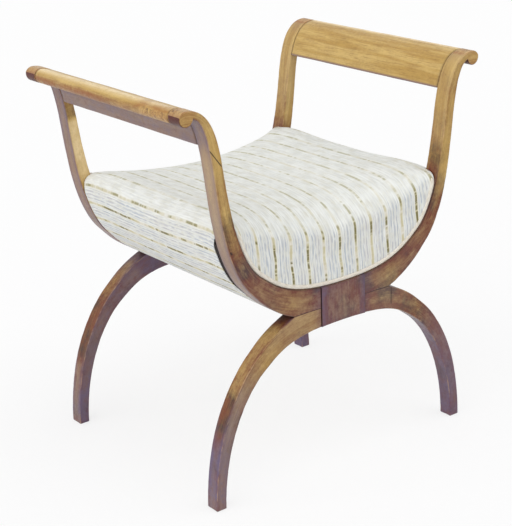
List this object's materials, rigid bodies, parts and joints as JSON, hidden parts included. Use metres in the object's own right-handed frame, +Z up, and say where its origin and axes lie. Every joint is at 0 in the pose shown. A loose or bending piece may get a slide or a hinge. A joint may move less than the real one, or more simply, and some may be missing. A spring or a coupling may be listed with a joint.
{
  "type": "x frame stool",
  "caption": "X frame stool with scrolled arms, curved crest rails and a fixed upholstered seat in a U between two matching wooden frames.",
  "frame": {"origin": "on the floor under the middle of the stool, in the plane of the four feet", "axes": "+X across the width, +Y from the front frame to the back frame, +Z up"},
  "size_m": [0.622, 0.458, 0.6738],
  "materials": {
    "polished_wood": "waxed old hardwood, golden brown with dark red-brown stains at the joints",
    "plain_wood": "bare sawn hardwood, hidden inside the seat and the joints",
    "striped_cloth": "off-white woven cloth with thin slubby gold stripes and pale grey-blue stripes",
    "piping_cloth": "plain cream woven cloth round a cord",
    "calico": "plain unbleached cloth",
    "webbing": "plain woven jute webbing",
    "stuffing": "firm fibre stuffing",
    "screw_steel": "plain steel"
  },
  "bodies": {
    "root": {"back_arm_dowel_1_left": "plain_wood", "back_arm_dowel_1_right": "plain_wood", "back_arm_dowel_2_left": "plain_wood", "back_arm_dowel_2_right": "plain_wood", "back_arm_left": "polished_wood", "back_arm_right": "polished_wood", "back_centre_block": "polished_wood", "back_joint_dowel_left": "plain_wood", "back_joint_dowel_right": "plain_wood", "back_leg_dowel_1_left": "plain_wood", "back_leg_dowel_1_right": "plain_wood", "back_leg_dowel_2_left": "plain_wood", "back_leg_dowel_2_right": "plain_wood", "back_leg_left": "polished_wood", "back_leg_right": "polished_wood", "back_piping": "piping_cloth", "back_rib_screw_1_left": "screw_steel", "back_rib_screw_1_right": "screw_steel", "back_rib_screw_2_left": "screw_steel", "back_rib_screw_2_right": "screw_steel", "back_seat_rib_left": "plain_wood", "back_seat_rib_right": "plain_wood", "centre_stretcher": "plain_wood", "dust_cloth": "calico", "front_arm_dowel_1_left": "plain_wood", "front_arm_dowel_1_right": "plain_wood", "front_arm_dowel_2_left": "plain_wood", "front_arm_dowel_2_right": "plain_wood", "front_arm_left": "polished_wood", "front_arm_right": "polished_wood", "front_centre_block": "polished_wood", "front_joint_dowel_left": "plain_wood", "front_joint_dowel_right": "plain_wood", "front_leg_dowel_1_left": "plain_wood", "front_leg_dowel_1_right": "plain_wood", "front_leg_dowel_2_left": "plain_wood", "front_leg_dowel_2_right": "plain_wood", "front_leg_left": "polished_wood", "front_leg_right": "polished_wood", "front_piping": "piping_cloth", "front_rib_screw_1_left": "screw_steel", "front_rib_screw_1_right": "screw_steel", "front_rib_screw_2_left": "screw_steel", "front_rib_screw_2_right": "screw_steel", "front_seat_rib_left": "plain_wood", "front_seat_rib_right": "plain_wood", "left_crest_rail": "polished_wood", "left_end_rail": "plain_wood", "right_crest_rail": "polished_wood", "right_end_rail": "plain_wood", "seat_cover": "striped_cloth", "seat_stuffing": "stuffing", "webbing_strip_1": "webbing", "webbing_strip_2": "webbing", "webbing_strip_3": "webbing", "webbing_strip_4": "webbing", "webbing_strip_5": "webbing", "webbing_strip_6": "webbing", "webbing_strip_7": "webbing"}
  },
  "joints": []
}
